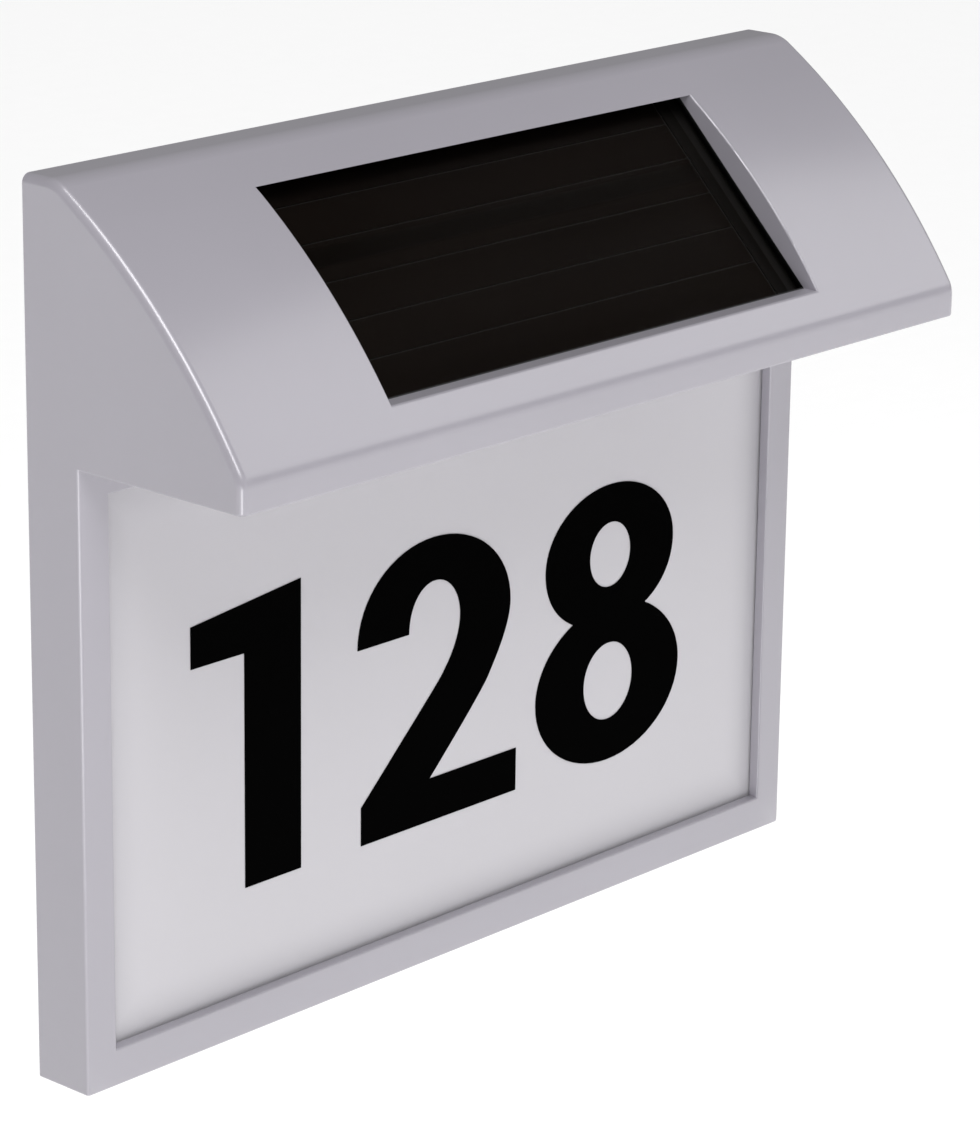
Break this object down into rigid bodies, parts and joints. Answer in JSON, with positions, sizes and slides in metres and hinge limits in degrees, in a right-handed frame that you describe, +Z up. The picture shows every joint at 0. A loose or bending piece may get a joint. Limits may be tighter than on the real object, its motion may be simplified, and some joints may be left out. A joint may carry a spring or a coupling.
{
  "type": "illuminated house number sign",
  "caption": "Thin framed wall sign with an opal number panel, under a curved hood with a solar panel in its roof, lamps in its underside and a battery inside.",
  "frame": {"origin": "middle of the flat back face that lies on the wall", "axes": "+X to the right along the width, +Y into the wall, +Z up"},
  "size_m": [0.2, 0.054, 0.17],
  "materials": {
    "housing_silver": "satin silver lacquer on moulded plastic, faint flow streaks",
    "sign_opal": "opal white, even, slightly glossy",
    "seal_foam": "matt black foam",
    "seal_rubber": "matt black rubber",
    "solar_glass": "clear float glass, glossy",
    "solar_cell": "brown black thin-film cell",
    "contact_silver": "dull printed contact bar",
    "backing_black": "matt black",
    "tray_black": "fine moulded grain",
    "screw_steel": "zinc-plated, fine turned marks",
    "lens_clear": "clear moulded plastic, frosted inside",
    "board_white": "white solder mask",
    "lamp_yellow": "white case with yellow phosphor",
    "cover_black": "black moulded plastic with fine spark grain",
    "battery_sleeve": "plain green shrink sleeve with metal ends",
    "contact_nickel": "nickel-plated spring steel",
    "board_green": "green solder mask",
    "chip_black": "black epoxy",
    "ferrite_grey": "sintered dark grey",
    "capacitor_can": "aluminium can",
    "socket_white": "off-white nylon",
    "switch_black": "black, fine grain",
    "switch_white": "white, slightly worn",
    "lead_sleeve": "soft black sleeve round two cores",
    "lead_core": "soft red and black insulation"
  },
  "bodies": {
    "sign": {"front_housing": "housing_silver", "sign_panel": "sign_opal", "sign_panel_seal": "seal_foam", "solar_glass": "solar_glass", "solar_glass_seal": "seal_rubber", "solar_cells": "solar_cell", "solar_contacts": "contact_silver", "solar_backing": "backing_black", "solar_tray": "tray_black", "solar_tray_screws": "screw_steel", "light_lens": "lens_clear", "lamp_board": "board_white", "lamps": "lamp_yellow", "lamp_board_screws": "screw_steel", "rear_cover": "cover_black", "rear_cover_seal": "seal_foam", "rear_cover_screws": "screw_steel", "battery": "battery_sleeve", "battery_positive_contact": "contact_nickel", "battery_spring": "contact_nickel", "circuit_board": "board_green", "board_screws": "screw_steel", "control_chip": "chip_black", "inductor": "ferrite_grey", "capacitor": "capacitor_can", "resistors": "chip_black", "lead_sockets": "socket_white", "switch_case": "switch_black", "switch_screws": "screw_steel", "solar_lead": "lead_sleeve", "lamp_lead": "lead_sleeve", "battery_leads": "lead_core", "switch_lead": "lead_core"},
    "door": {"battery_door": "cover_black", "battery_door_seal": "seal_rubber", "battery_door_screws": "screw_steel"},
    "slider": {"switch_slider": "switch_white"}
  },
  "joints": [
    {"name": "battery_door_lift", "type": "slide", "parent": "sign", "child": "door", "axis": [0, 1, 0], "range_m": [0, 0.03]},
    {"name": "switch_slide", "type": "slide", "parent": "sign", "child": "slider", "axis": [1, 0, 0], "range_m": [0, 0.003]}
  ]
}
